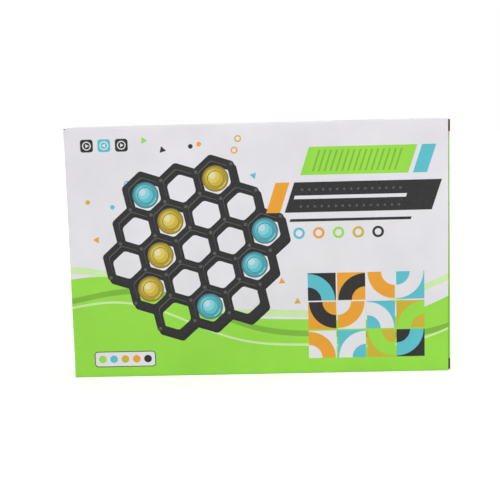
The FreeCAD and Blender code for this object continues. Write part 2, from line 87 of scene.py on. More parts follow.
TUBE_HIGH = box_mm("carton_tube")[1]
CLOSURE_LOW, CLOSURE_HIGH = box_mm("right_closure")
TUCK_LOW = box_mm("right_tuck_flap")[0]
DUST_LOW, DUST_HIGH = box_mm("right_top_dust_flap")
HINGE = axis_mm("right_closure")
TUCK = axis_mm("right_tuck_flap")
DUST = axis_mm("right_top_dust_flap")
HEIGHT = TUBE_HIGH.z
HALF_DEPTH = TUBE_HIGH.y
DEPTH = 2 * HALF_DEPTH
BOARD = CLOSURE_HIGH.x - CLOSURE_LOW.x
HALF_BOARD = BOARD / 2
INNER_DEPTH = HALF_DEPTH - BOARD
CREASE_GAP = CLOSURE_LOW.x - TUBE_HIGH.x

# The front and back panels run from a hinged end to a cut end, the top and bottom between the dust flaps
PANEL_END = TUBE_HIGH.x
CUT_END = DUST_HIGH.x
RING_END = DUST_LOW.x - CREASE_GAP
PANEL_WIDTH = PANEL_END + CUT_END
CLOSURE_REACH = HINGE.y - TUCK.y + HALF_BOARD

# Sizes of the board's folds, the same as in the solids
OUTER_CREASE = 1.6
INNER_CREASE = 0.5
GLUE_CREASE = 0.9
GLUE_WIDTH = 16.0
GLUE_FAR = HINGE.x - 17.0
GLUE_NEAR = GLUE_FAR - 5.0
SLIT_LENGTH = 10.5
SLIT_ROOM = 0.3
SLIT_GAP = 0.9
CREASE_BEVEL = 0.6
CLOSURE_WRAP = 150.0
TUCK_LENGTH = 15.0
TUCK_CORNER = 5.0
TUCK_TILT = 9.0
TUCK_WRAP = 165.0
DUST_LENGTH = 36.0
DUST_ROOT = 2.0
DUST_MITRE = 21.0
DUST_TAPER_RUN = 5.5
DUST_TAPER_RISE = 20.0
DUST_WRAP = 150.0

# The layers of the board
LINER = 0.3
FLUTE_PAPER = 0.2
FLUTE_PITCH = 3.2
FLUTE_STEPS = 8
FLUTING_ROOM = 0.6
LAP_ROOM = 0.2

# The knife presses the board's cut edges in
PRESSED_DEPTH = 0.22
PRESSED_WIDTH = 0.8
PRESSED_STEPS = (0.2, 0.45, 0.8)

# At a fold the printed paper runs on over both boards, and the papers under it lie lower
OVERLAP = 0.5
SUNK = 0.31
STEP = 0.01

# How finely a sheet is cut where it bends, and how far a helper line runs out past it
ARC_STEP = 15.0
BEND_STEP = 0.2
PANEL_ROWS = 8
PAST_EDGE = 1.0
WELD = 1e-4
INSIDE_ONLY = 1
PAPER_SMOOTH = 30.0
FLUTE_SMOOTH = 50.0


# Outlines in the plane, as lists of points
def pair(point):
    return point.real, point.imag


def arc(across, up, radius, start, step, count):
    """Points round a middle. The angles are in radians."""
    angles = [start + step * k for k in range(count)]
    return [(across + radius * cos(angle), up + radius * sin(angle)) for angle in angles]


def disc(across, up, radius, count=48, start=0.0):
    return arc(across, up, radius, start, tau / count, count)


def rectangle(left, low, right, high):
    return [(left, low), (right, low), (right, high), (left, high)]


def slanted(left, low, width, height, lean=0.0):
    right, high = left + width, low + height
    return [(left, low), (right, low), (right + lean, high), (left + lean, high)]


def sector(across, up, radius, start, sweep, count=16, inner=0.0):
    """A slice of a disc, or of a ring where it has an inner radius. Its angles are in degrees."""
    angles = (radians(start), radians(sweep) / count, count + 1)
    near = arc(across, up, inner, *angles)[::-1] if inner else [(across, up)]
    return arc(across, up, radius, *angles) + near


def corners_of(outline):
    """Each corner as a complex number, between the corner before it and the one after it."""
    points = [complex(*point) for point in outline]
    return zip(points[-1:] + points, points, points[1:] + points[:1])


def rounded(corners, radius, steps=5):
    """The outline with each corner rounded by an arc that touches both of its sides."""
    outline = []
    for before, corner, after in corners_of(corners):
        first, last = ((other - corner) / abs(other - corner) for other in (before, after))
        turn = phase(last / first)
        middle = corner + (first + last) / abs(first + last) * radius / sin(abs(turn) / 2)
        spoke = corner + first * radius / tan(abs(turn) / 2) - middle
        sweep = copysign(pi - abs(turn), -turn)
        outline += [pair(middle + spoke * exp(1j * sweep * k / steps)) for k in range(steps + 1)]
    return outline


def moved(outline, across, up):
    return [(u + across, v + up) for u, v in outline]


def turned_left(outline):
    """The outline run anticlockwise."""
    area = sum((before.conjugate() * corner).imag for before, corner, _ in corners_of(outline))
    return outline if area > 0 else outline[::-1]


def inset(outline, width):
    """The outline drawn inward by a width, corner by corner."""
    drawn = []
    for before, corner, after in corners_of(turned_left(outline)):
        first, last = (1j * side / abs(side) for side in (corner - before, after - corner))
        drawn.append(pair(corner + (first + last) * width / (1 + (first * last.conjugate()).real)))
    return drawn


def edge_distance(sides, point):
    """How far a point lies from the nearest of an outline's sides."""
    nearest = inf
    for first, last in sides:
        side = last - first
        share = ((point - first) * side.conjugate()).real / abs(side) ** 2
        nearest = min(nearest, abs(point - first - side * min(1.0, max(0.0, share))))
    return nearest


def is_inside(rectangles, point):
    return any(left - TINY < point.real < right + TINY and low - TINY < point.imag < high + TINY
               for left, low, right, high in rectangles)


# Nodes and materials
def linear(colour, scale=1.0):
    """A screen colour of 0 to 255, scaled, as Blender's linear colour."""
    def channel(value):
        share = min(255, scale * value) / 255
        return share / 12.92 if share <= 0.04045 else ((share + 0.055) / 1.055) ** 2.4
    return tuple(channel(value) for value in colour) + (1.0,)


def tint(colour, share):
    """The colour mixed with white, or with black where the share is negative."""
    target = 255 if share > 0 else 0
    return tuple(value + (target - value) * abs(share) for value in colour)


NOISE_ENDS = (0.3, 0.7)


class Nodes:
    """Short ways to add nodes to a node tree."""

    def __init__(self, tree):
        self.tree = tree

    def plug(self, value, socket):
        if isinstance(value, bpy.types.NodeSocket):
            self.tree.links.new(value, socket)
        elif value is not None:
            socket.default_value = value

    def add(self, kind, inputs=None, **settings):
        """The outputs of a new node. Each input is set to a value, linked to a socket, or left for None."""
        node = self.tree.nodes.new("ShaderNode" + kind)
        for word, value in settings.items():
            setattr(node, word, value)
        for socket, value in (inputs or {}).items():
            self.plug(value, node.inputs[socket])
        return node.outputs

    def maths(self, operation, first, *others):
        """A number worked out from one value, or from several, each with the result so far."""
        for other in others or [None]:
            first = self.add("Math", {0: first, 1: other}, operation=operation)[0]
        return first

    plus = partialmethod(maths, "ADD")
    minus = partialmethod(maths, "SUBTRACT")
    times = partialmethod(maths, "MULTIPLY")

    def vectors(self, operation, *values):
        return self.add("VectorMath", dict(enumerate(values)), operation=operation)

    def parts(self, vector):
        return self.add("SeparateXYZ", {0: vector})

    def range(self, value, low, high, to_low=0.0, to_high=1.0, kind="LINEAR"):
        ends = {"From Min": low, "From Max": high, "To Min": to_low, "To Max": to_high}
        return self.add("MapRange", {"Value": value, **ends}, interpolation_type=kind)[0]

    def spread(self, noise, to_low=0.0, to_high=1.0):
        """The usual values of a noise, spread over a range."""
        return self.range(noise, *NOISE_ENDS, to_low, to_high)

    def mix(self, share, first, second):
        return self.add("Mix", {0: share, 6: first, 7: second}, data_type="RGBA")[2]


class Shader(Nodes):
    """A material with a Principled shader, whose tones and bumps are laid one over another."""

    def __init__(self, name, tone):
        self.material = bpy.data.materials.new(name)
        self.material.use_nodes = True
        super().__init__(self.material.node_tree)
        self.place = self.add("TexCoord")["Object"]
        self.tone = tone
        self.normal = None

    def noise(self, size, detail=2.0, rough=0.5, scale=None):
        """Noise whose patches are about the given size in millimetres, larger where the scale is under 1."""
        place = self.place
        if scale:
            place = self.add("Mapping", {"Vector": place, "Scale": scale})[0]
        inputs = {"Vector": place, "Scale": 1 / (size * MM), "Detail": detail, "Roughness": rough}
        return self.add("TexNoise", inputs)["Fac"]

    def cover(self, share, colour):
        self.tone = self.mix(share, self.tone, colour)

    def bump(self, height, depth):
        """Bump from a height of 0 to 1 that stands for a real depth in millimetres."""
        inputs = {"Strength": 1.0, "Distance": depth * MM, "Height": height, "Normal": self.normal}
        self.normal = self.add("Bump", inputs)["Normal"]

    def finish(self, **values):
        surface = self.tree.nodes["Principled BSDF"].inputs
        for word, value in {"Base_Color": self.tone, "Normal": self.normal, **values}.items():
            self.plug(value, surface[word.replace("_", " ")])
        return self.material


def fold_distance(shader):
    """How far a place on the carton's outside is from the nearest fold, in metres."""
    middle = (0.0, 0.0, HEIGHT / 2 * MM)
    corner = (CLOSURE_HIGH.x * MM, HALF_DEPTH * MM, HEIGHT / 2 * MM)
    away = shader.vectors("ABSOLUTE", shader.vectors("SUBTRACT", shader.place, middle)[0])[0]
    parts = shader.parts(shader.vectors("SUBTRACT", corner, away)[0])
    return shader.minus(shader.plus(*parts), shader.maths("MAXIMUM", *parts))


PAPER_WHITE = (240, 238, 243)
PAINTED_SHADING_LOW = 70.0
PAINTED_SHADING_HIGH = 165.0
RUBBED_WIDTH = 1.3
RUBBED_SHARE = 0.55


@cache
def ink_of(word):
    """Print under a satin varnish on coated paper over flutes, rubbed pale in places along the folds.

    An ink with painted shading goes over to its paler second colour up the carton.
    """
    colour, *above = [COLOURS[part] for part in PAINTED_SHADING_INKS.get(word, (word,))]
    shader = Shader("ink_" + word, linear(colour, 0.975))
    fibre = shader.noise(1.6, 3.0, 0.6, (0.35, 1.0, 1.0))
    shader.cover(shader.spread(shader.noise(46.0, 3.0)), linear(colour, 1.012))
    # Painted shading: the ink turns to its paler second colour higher up the carton
    if above:
        height = shader.parts(shader.place)[2]
        shader.cover(shader.range(height, PAINTED_SHADING_LOW * MM, PAINTED_SHADING_HIGH * MM), linear(*above))
    shader.cover(shader.range(shader.noise(0.35), 0.35, 0.7, 0.0, 0.06), linear(PAPER_WHITE))
    near = shader.range(fold_distance(shader), 0.0, RUBBED_WIDTH * MM, 1.0, 0.0)
    worn = shader.times(near, shader.range(shader.noise(4.5, 5.0, 0.65), 0.47, 0.66), RUBBED_SHARE)
    shader.cover(worn, linear(PAPER_WHITE))
    wave = {"Vector": shader.place, "Scale": pi / (10 * FLUTE_PITCH * MM), "Distortion": 0.4, "Detail": 1.0,
            "Detail Scale": 0.4}
    shader.bump(shader.add("TexWave", wave, wave_type="BANDS", bands_direction="Z")["Fac"], 0.006)
    shader.bump(shader.noise(16.0), 0.05)
    shader.bump(fibre, 0.004)
    rough = shader.plus(shader.spread(fibre, 0.36, 0.44), shader.times(worn, 0.3))
    return shader.finish(Roughness=rough, Specular_IOR_Level=0.2)


def bare_paper(name, colour, dark, speckle=0.5, printed=None):
    """Uncoated paper: long soft fibres, small dark and pale specks and a matt nap. It may carry a print."""
    shader = Shader(name, linear(dark))
    fibre = shader.noise(2.2, 4.0, 0.62, (0.22, 1.0, 1.0))
    speck = shader.range(shader.noise(0.55, 1.0), 0.66, 0.72)
    shader.cover(shader.spread(fibre), linear(colour))
    shader.cover(shader.spread(shader.noise(24.0, 3.0), 0.0, 0.25), linear(colour, 0.9))
    shader.cover(shader.times(speck, speckle), linear(dark, 0.55))
    if printed:
        printed(shader)
    shader.bump(fibre, 0.03)
    shader.bump(shader.noise(0.4), 0.012)
    return shader.finish(Roughness=shader.range(fibre, 0.2, 0.8, 0.82, 0.95), Specular_IOR_Level=0.25)


def moulded(name, colour, rough, texture, mottling=0.04, coat=0.0, seam=0.0):
    """Moulded plastic: faint flow marks, a fine eroded texture, small scuffs, and a seam round the middle."""
    shader = Shader(name, linear(colour, 1 - mottling))
    flow = shader.noise(30.0, 4.0, 0.6)
    shader.cover(shader.spread(flow), linear(colour, 1 + mottling))
    scuff = shader.range(shader.noise(5.0, 6.0, 0.7, (0.3, 1.0, 1.4)), 0.62, 0.72, 0.0, 0.10)
    shader.cover(scuff, linear(tint(colour, 0.5)))
    gloss = shader.plus(shader.spread(flow, rough - 0.03, rough + 0.04), scuff)
    shader.bump(shader.noise(0.5, 3.0), texture)
    shader.bump(shader.noise(9.0), 0.04)
    if seam:
        height = shader.parts(shader.add("TexCoord")["Generated"])[2]
        line = shader.range(shader.maths("ABSOLUTE", shader.minus(height, 0.5)), 0.0, SEAM_SHARE, 1.0, 0.0)
        shader.bump(line, seam)
        gloss = shader.plus(gloss, shader.times(line, 0.2))
    return shader.finish(Roughness=gloss, Coat_Weight=coat, Coat_Roughness=0.12)


COLOURS = {
    "white": PAPER_WHITE,
    "charcoal": (22, 22, 21),
    "black": (12, 12, 12),
    "stone": (84, 85, 82),
    "mist": (222, 223, 228),
}
FAMILIES = {
    "lime": (157, 231, 67),
    "cyan": (92, 200, 214),
    "yellow": (214, 186, 44),
    "orange": (246, 168, 36),
}
SHADES = {"dark_": -0.34, "deep_": -0.17, "": 0.0, "light_": 0.3, "pale_": 0.6}
COLOURS.update({shade + word: tint(colour, share)
                for word, colour in FAMILIES.items() for shade, share in SHADES.items()})
# The lime of the right closure and right tuck flap has painted shading: it turns paler up the carton
PAINTED_SHADING_INKS = {"graded_lime": ("lime", "pale_lime")}

KRAFT = bare_paper("inner_liner_paper", (178, 142, 100), (146, 112, 76))
MEDIUM = bare_paper("fluting_paper", (128, 98, 68), (98, 73, 50))
LINER_BACK = bare_paper("liner_back_paper", (170, 160, 145), (140, 128, 112))
LINER_EDGE = bare_paper("liner_edge_paper", (150, 124, 96), (112, 88, 64))


# Flat sheets that are cut, printed and folded
class Design:
    """A print: coloured shapes with holes in them, each over the ones before it."""

    def __init__(self):
        self.layers = []

    def fill(self, word, *shapes, holes=()):
        self.layers.append((word, shapes, holes))

    def add(self, other, place):
        """Another design over this one, with the place call taking each of its points to where it lies."""
        for word, *groups in other.layers:
            shapes, holes = ([[place(*point) for point in shape] for shape in group] for group in groups)
            self.fill(word, *shapes, holes=holes)


def ahead(place, heading, bend, reach):
    """The place and heading that a line comes to. It is an arc where it has a bend."""
    if not bend:
        return place + heading * reach, heading
    facing = heading * exp(1j * bend * reach)
    return place + 1j * (heading - facing) / bend, facing


class Profile:
    """The line that a board follows in cross-section, with the board's thickness on one side of it."""

    def __init__(self, to_body, start, heading, side):
        self.to_body = to_body
        self.place = complex(*start)
        self.heading = heading
        self.side = side
        self.length = 0.0
        self.runs = []

    def run(self, length, bend=0.0):
        self.runs.append((self.length, length, self.place, self.heading, bend))
        self.place, self.heading = ahead(self.place, self.heading, bend, length)
        self.length += length

    def turn(self, radius, angle):
        """An arc to the left, or to the right where the angle is negative."""
        self.run(radians(abs(angle)) * radius, copysign(1 / radius, angle))

    def lay(self, along, around, depth):
        """Where a sheet's point lies that is so far along the folds, round them and into the board."""
        start, _, *run = [run for run in self.runs if around >= run[0] - TINY][-1]
        place, facing = ahead(*run, around - start)
        return self.to_body(*pair(place + 1j * self.side * facing * depth), along)

    def creases(self):
        """Where the sheet needs a row of points so that it can follow the arcs."""
        rows = []
        for start, length, _, _, bend in self.runs:
            if bend:
                steps = max(2, ceil(degrees(length * abs(bend)) / ARC_STEP))
                rows += [start + length * k / steps for k in range(steps + 1)]
        return [row for row in rows if TINY < row < self.length - TINY]


def mosaic(outline, design, rows, folds):
    """Triangles of the outline's inside, cut along each shape's edge, with the colour on top of each."""
    points = []
    faces = []
    edges = []

    def numbers(corners):
        first = len(points)
        points.extend(Vector(corner) for corner in corners)
        return list(range(first, len(points)))

    def face(shape):
        faces.append(numbers(turned_left(shape)))
        return len(faces) - 1

    face(outline)
    painted = [(word, set(map(face, shapes)), set(map(face, holes))) for word, shapes, holes in design.layers]
    rings = [inset(outline, width) for width in PRESSED_STEPS]
    for left, low, right, high in folds:
        rings += [rectangle(left - more, low - more, right + more, high + more) for more in (0.0, STEP)]
    for ring in rings:
        around = numbers(ring)
        edges += zip(around, around[1:] + around[:1])
    places = [point[0] for point in outline]
    ends = (min(places) - PAST_EDGE, max(places) + PAST_EDGE)
    for row in rows:
        edges.append(tuple(numbers([(end, row) for end in ends])))
    corners, _, found, _, _, origins = delaunay_2d_cdt(points, edges, faces, INSIDE_ONLY, WELD, True)
    triangles = []
    words = []
    for triangle, origin in zip(found, map(set, origins)):
        if 0 in origin:
            triangles.append(triangle)
            words.append(next((word for word, shapes, holes in reversed(painted)
                               if origin & shapes and not origin & holes), None))
    used = sorted({corner for triangle in triangles for corner in triangle})
    renumber = {old: new for new, old in enumerate(used)}
    triangles = [tuple(renumber[corner] for corner in triangle) for triangle in triangles]
    return [corners[old] for old in used], triangles, words


def add_object(name, data):
    thing = bpy.data.objects.new(name, data)
    bpy.context.scene.collection.objects.link(thing)
    return thing


def add_mesh(name, points, faces, materials, picks, smooth_angle):
    """A mesh object in metres whose faces all point outward."""
    mesh = bpy.data.meshes.new(name)
    mesh.from_pydata([Vector(point) * MM for point in points], [], faces)
    for material in materials:
        mesh.materials.append(material)
    mesh.polygons.foreach_set("material_index", picks)
    build = bmesh.new()
    build.from_mesh(mesh)
    bmesh.ops.recalc_face_normals(build, faces=build.faces)
    build.to_mesh(mesh)
    build.free()
    mesh.shade_smooth()
    mesh.set_sharp_from_angle(angle=radians(smooth_angle))
    return add_object(name, mesh)


def sheet(name, outline, path, base, design=Design(), folds=(), rows=(), press=PRESSED_DEPTH):
    """A closed sheet of paper: printed face, plain back and cut edges, laid along a path.

    The knife presses its cut edges in. Where a fold's paper runs on over it, it lies lower.
    """
    places, triangles, words = mosaic(outline, design, path.creases() + list(rows), folds)
    count = len(places)
    cut_sides = [(first, last) for first, last, _ in corners_of(outline)
                 if not is_inside(folds, (first + last) / 2)]
    hidden = [is_inside(folds, complex(*place)) for place in places]
    depths = []
    for place, under in zip(places, hidden):
        share = max(0.0, 1.0 - edge_distance(cut_sides, complex(*place)) / PRESSED_WIDTH)
        depths.append(SUNK if under else press * share ** 2)
    papers = [path.lay(*place, depth + below)
              for below in (0.0, LINER) for place, depth in zip(places, depths)]
    materials = [base, LINER_BACK, LINER_EDGE]
    picks = []
    for corners, word in zip(triangles, words):
        material = ink_of(word) if word else base
        if all(hidden[corner] for corner in corners):
            material = LINER_BACK
        if material not in materials:
            materials.append(material)
        picks.append(materials.index(material))
    faces = triangles + [tuple(corner + count for corner in reversed(corners)) for corners in triangles]
    picks += [materials.index(LINER_BACK)] * len(triangles)
    directed = {(corners[k - 1], corners[k]) for corners in triangles for k in range(3)}
    for first, second in sorted(directed):
        if (second, first) not in directed:
            faces.append((second, first, first + count, second + count))
            picks.append(materials.index(LINER_EDGE))
    return add_mesh(name, papers, faces, materials, picks, PAPER_SMOOTH)


def fluting(name, stops, lay):
    """Wavy paper between the liners. A stop is a place across the flutes, with where they start and end."""
    points = []
    faces = []
    swing = HALF_BOARD - LINER - FLUTE_PAPER / 2
    for first, last in zip(stops, stops[1:]):
        if first[0] == last[0]:
            continue
        count = max(1, round((last[0] - first[0]) / FLUTE_PITCH * FLUTE_STEPS))
        start = len(points)
        end = start + 4 * count
        for k in range(count + 1):
            across, low, high = (one + (two - one) * (k / count) for one, two in zip(first, last))
            depth = HALF_BOARD + swing * sin(tau * across / FLUTE_PITCH)
            points += [lay(across, along, depth + side * FLUTE_PAPER / 2)
                       for along in (low, high) for side in (-1, 1)]
        for here in range(start, end, 4):
            for one, two in ((0, 1), (1, 3), (3, 2), (2, 0)):
                faces.append((here + one, here + two, here + two + 4, here + one + 4))
        faces.append((start, start + 2, start + 3, start + 1))
        faces.append((end, end + 1, end + 3, end + 2))
    return add_mesh(name, points, faces, [MEDIUM], [0] * len(faces), FLUTE_SMOOTH)


# The cover design, in millimetres from a panel's lower left corner
WAVE_HEIGHT = 66.0
LONG_WAVE = (22.0, 430.0)
SHORT_WAVE = (4.0, 165.0)
WAVE_STEPS = 72
BELOW_PANEL = -12.0
FIELD_MARGIN = 2.0


def wave_height(across):
    """The height of the lime field's edge: two waves, each with its own rise and length."""
    return (WAVE_HEIGHT + LONG_WAVE[0] * cos(tau * across / LONG_WAVE[1])
            + SHORT_WAVE[0] * sin(tau * across / SHORT_WAVE[1]))


# Each band's colour, its lower and upper offset from the wave, and its shift; the field has no lower offset
BANDS = (
    ("pale_lime", 3.0, 9.0, 24.0),
    ("lime", None, 0.0, 0.0),
    ("deep_lime", -16.0, -11.0, -30.0),
    ("pale_lime", -24.0, -22.0, -12.0),
)


def field(left=-FIELD_MARGIN, right=PANEL_WIDTH + FIELD_MARGIN):
    """A new design with the lime field and its ribbons."""
    design = Design()
    steps = [left + (right - left) * k / WAVE_STEPS for k in range(WAVE_STEPS + 1)]
    for word, low, high, shift in BANDS:
        lower = [(right, BELOW_PANEL), (left, BELOW_PANEL)]
        if low is not None:
            lower = [(u, wave_height(u + shift) + low) for u in reversed(steps)]
        design.fill(word, [(u, wave_height(u + shift) + high) for u in steps] + lower)
    return design


# Shares of a token's radius
TOKEN_DOMES = ("deep_", "", "light_", "pale_")
TOKEN_FACE = 0.9
TOKEN_SHRINK = 0.21
TOKEN_SHIFT = 0.08
TOKEN_GROOVE = (0.62, 0.57)
TOKEN_GLOW = (0.84, 0.76)


def token(design, across, up, radius, family):
    """A round token with a dark rim and a domed face whose tones rise to the upper left."""
    design.fill("dark_" + family, disc(across, up, radius))
    for k, shade in enumerate(TOKEN_DOMES):
        shift = radius * TOKEN_SHIFT * k
        dome = disc(across - shift, up + shift, radius * (TOKEN_FACE - TOKEN_SHRINK * k))
        design.fill(shade + family, dome)
    shift = radius * 0.01
    outer, inner = (radius * share for share in TOKEN_GROOVE)
    hole = disc(across + shift, up - shift, inner, 36)
    design.fill("dark_" + family, disc(across, up, outer, 36), holes=[hole])
    outer, inner = (radius * share for share in TOKEN_GLOW)
    design.fill("light_" + family, sector(across, up, outer, -70.0, 55.0, 12, inner))


HONEY_REACH = 2
HONEY_PITCH = 31.0
HONEY_WALL = 6.4
HONEY_RIM = 3.6
HONEY_LIP = 1.1
HONEY_ROUND = 4.0
HONEY_TURN = 12.0
HONEY_DROP = (2.0, -3.0)
HONEY_GLEAM = (-0.5, 0.8)
STUD_RADIUS = 1.5
STUD_SHARE = 0.86
TOKEN_SHARE = 0.80
TOKEN_CELLS = {1: "cyan", 3: "yellow"}


def honeycomb(design, across, up):
    """A charcoal honeycomb tray with its dark side showing, and tokens in some of its cells."""
    turn = exp(1j * radians(HONEY_TURN))
    slope = exp(1j * pi / 3)
    steps = range(-HONEY_REACH, HONEY_REACH + 1)
    cells = [pair(complex(across, up) + HONEY_PITCH * (column + row * slope) * turn)
             for row in steps for column in steps if abs(row + column) <= HONEY_REACH]
    start = radians(HONEY_TURN + 30.0)
    outer = HONEY_PITCH / sqrt(3) + HONEY_RIM
    inner = (HONEY_PITCH - HONEY_WALL) / sqrt(3)

    def hexagons(radius, shift=(0.0, 0.0)):
        return [moved(rounded(disc(u, v, radius, 6, start), HONEY_ROUND), *shift) for u, v in cells]

    holes = hexagons(inner)
    design.fill("black", *hexagons(outer, HONEY_DROP), holes=hexagons(inner, HONEY_DROP))
    design.fill("charcoal", *hexagons(outer), holes=holes)
    design.fill("stone", *hexagons(inner + HONEY_LIP, HONEY_GLEAM), holes=holes)
    design.fill("black", *hexagons(inner + HONEY_LIP), holes=holes)
    studs = [place for u, v in cells for place in arc(u, v, outer * STUD_SHARE, start, pi, 2)]
    design.fill("stone", *[disc(*place, STUD_RADIUS, 16) for place in studs])
    for number, place in enumerate(cells):
        if number % 5 in TOKEN_CELLS:
            token(design, *place, inner * TOKEN_SHARE, TOKEN_CELLS[number % 5])


TILE_GROUNDS = ("white", "charcoal", "cyan", "orange", "yellow")
TILE_ROUNDS = ("orange", "cyan", "white", "charcoal", "lime")
TILE_GAP = 0.6
TILE_ROOM = 0.8


def tiles(design, left, low, size, columns, rows):
    """Square tiles with quarter discs that turn from tile to tile."""
    reach = size - 2 * TILE_GAP - TILE_ROOM
    for row in range(rows):
        for column in range(columns):
            pick = (2 * column + 3 * row) % len(TILE_GROUNDS)
            quarter = (column + 2 * row) % 4
            u, v = left + size * column, low + size * row
            tile = rectangle(u + TILE_GAP, v + TILE_GAP, u + size - TILE_GAP, v + size - TILE_GAP)
            design.fill(TILE_GROUNDS[pick], tile)
            design.fill(TILE_ROUNDS[pick], sector(*tile[quarter], reach, 90.0 * quarter, 90.0))
            design.fill(TILE_GROUNDS[pick], sector(*tile[quarter], reach * 0.5, 90.0 * quarter, 90.0))


BADGES_PLACE = (12.0, 198.0)
BADGE_SIZE = 11.0
BADGE_PITCH = 15.0
BADGE_WORDS = ("charcoal", "cyan", "charcoal")


def badges(design, left, low):
    """Rounded squares with a ring in each and a small triangle that turns from badge to badge."""
    size = BADGE_SIZE
    for k, word in enumerate(BADGE_WORDS):
        first = left + BADGE_PITCH * k
        middle = (first + size / 2, low + size / 2)
        design.fill(word, rounded(slanted(first, low, size, size), size * 0.22))
        design.fill("white", disc(*middle, size * 0.34, 32), holes=[disc(*middle, size * 0.26, 32)])
        design.fill("white", disc(*middle, size * 0.18, 3, k * pi / 3))


# Each bar's colour, where it starts in the block, its width, height and lean
BARS = (
    ("lime", 14.0, 32.0, 92.0, 24.0, 8.0),
    ("cyan", 110.0, 32.0, 12.0, 24.0, 8.0),
    ("orange", -16.0, 0.0, 12.0, 26.0, 8.7),
    ("charcoal", 0.0, 0.0, 126.0, 26.0, 8.7),
    ("white", 8.0, 11.5, 96.0, 3.0, 1.0),
    ("charcoal", 4.0, -8.0, 104.0, 2.4, 0.8),
)
BARS_PLACE = (186.0, 142.0)
RING_WORDS = ("cyan", "orange", "lime", "yellow", "charcoal")
DOT_RADIUS = 1.1


def bars(design, left, low):
    """A block of leaning bars with small bright ends and a row of rings under it."""
    for word, across, up, width, height, lean in BARS:
        design.fill(word, slanted(left + across, low + up, width, height, lean))
    design.fill("deep_lime", *[slanted(left + 24 + 5 * k, low + 35, 1.6, 18, 6) for k in range(15)])
    design.fill("stone", *[disc(left + 14 + 6 * k + 1.4 * row, low + 5 + 14.5 * row, DOT_RADIUS, 14)
                           for k in range(15) for row in range(2)])
    for k, word in enumerate(RING_WORDS):
        place = (left + 12 + 17 * k, low - 18)
        design.fill(word, disc(*place, 5.0, 32), holes=[disc(*place, 2.9, 32)])


BURST_WORDS = ("orange", "cyan", "charcoal", "yellow", "lime")
BURST_OVER_WAVE = 14.0
BURST_PANEL = (8.0, 10.0, PANEL_WIDTH - 8.0, HEIGHT - 8.0)
BURST_GAPS = (
    (BARS_PLACE[0] - 24.0, BARS_PLACE[1] - 30.0, PANEL_WIDTH, HEIGHT),
    (0.0, BADGES_PLACE[1] - 10.0, BADGES_PLACE[0] + 50.0, HEIGHT),
)


def burst(design, across, up, radius, count):
    """Small triangles, dots and rings round a middle, kept off the panel's edges, field, bars and badges."""
    for k in range(count):
        angle = tau * k / count + 0.35 * sin(3.0 * k)
        place = complex(across, up) + radius * (1.0 + 0.13 * sin(5.0 * k)) * exp(1j * angle)
        u, v = pair(place)
        is_clear = is_inside([BURST_PANEL], place) and not is_inside(BURST_GAPS, place)
        if not is_clear or v < wave_height(u) + BURST_OVER_WAVE:
            continue
        word = BURST_WORDS[k % len(BURST_WORDS)]
        if k % 3 == 0:
            design.fill(word, disc(u, v, 3.4, 3, angle))
        elif k % 3 == 1:
            design.fill(word, disc(u, v, 2.0, 20))
        else:
            design.fill(word, disc(u, v, 3.0, 24), holes=[disc(u, v, 1.8, 24)])


def framed_patch(design, left, low, width, height, line, radii):
    """A white patch with rounded corners inside a charcoal line."""
    patch = slanted(left, low, width, height)
    design.fill("charcoal", rounded(patch, radii[0]))
    design.fill("white", rounded(inset(patch, line), radii[1]))


def front_design():
    design = field()
    burst(design, across=108.0, up=116.0, radius=90.0, count=34)
    honeycomb(design, across=108.0, up=114.0)
    bars(design, *BARS_PLACE)
    tiles(design, left=204.0, low=13.0, size=25.5, columns=4, rows=3)
    badges(design, *BADGES_PLACE)
    framed_patch(design, left=16.0, low=9.0, width=54.0, height=14.0, line=0.7, radii=(3.0, 2.4))
    for k, word in enumerate(("lime", "cyan", "yellow", "orange", "charcoal")):
        design.fill(word, disc(23.0 + 10.0 * k, 16.0, 3.4, 28))
    return design


# Cards on the back, and a leaning bar over them
CARDS_LEFT = 40.0
CARDS_LOW = 84.0
CARD_PITCH = 92.0
CARD_DOT_WORDS = {0: "cyan", 2: "yellow"}
BACK_BAR_LOW = 188.0
BACK_BAR_SIZE = (13.0, 4.4)


def back_design():
    design = field()
    for number in range(3):
        left = CARDS_LEFT + CARD_PITCH * number
        framed_patch(design, left, CARDS_LOW, width=64.0, height=88.0, line=1.2, radii=(6.0, 4.8))
        for row in range(5):
            for column in range(4):
                word = CARD_DOT_WORDS.get((row * 3 + column * (number + 2)) % 5, "pale_lime")
                design.fill(word, disc(left + 11 + 14 * column, CARDS_LOW + 14 + 15 * row, 5.2, 28))
    design.fill("orange", *[disc(118.0 + CARD_PITCH * k, 128.0, 7.0, 3) for k in range(2)])
    design.fill("charcoal", slanted(38.0, BACK_BAR_LOW, 170.0, *BACK_BAR_SIZE))
    design.fill("stone", *[disc(50.0 + 6.0 * k, 194.5, DOT_RADIUS, 14) for k in range(25)])
    for k, word in enumerate(("cyan", "orange", "lime")):
        design.fill(word, slanted(214.0 + 18.0 * k, BACK_BAR_LOW, 12.0, *BACK_BAR_SIZE))
    for k in range(6):
        token(design, 44.0 + 27.0 * k, 24.0, 9.5, ("cyan", "yellow")[k % 2])
    return design


# The carton's tube: one sheet, from the glue flap down the back and round the bottom and the front to the top
def tube_profile(start, heading, side):
    return Profile(lambda across, up, along: (along, across, up), start, heading, side)


def tube_path(top, side, lengths, creases):
    """The tube's cross-section, and the flat span of its glue flap, back, bottom, front and top along it.

    The lengths are the panels', from corner to corner as if the creases were sharp.
    """
    path = tube_profile((INNER_DEPTH - GLUE_WIDTH, top), 1, side)
    spans = []
    for length, before, after in zip(lengths, (0.0, *creases), (*creases, 0.0)):
        low = path.length
        path.run(length - before - after)
        spans.append((low, path.length))
        if after:
            path.turn(after, -90)
    return path, spans


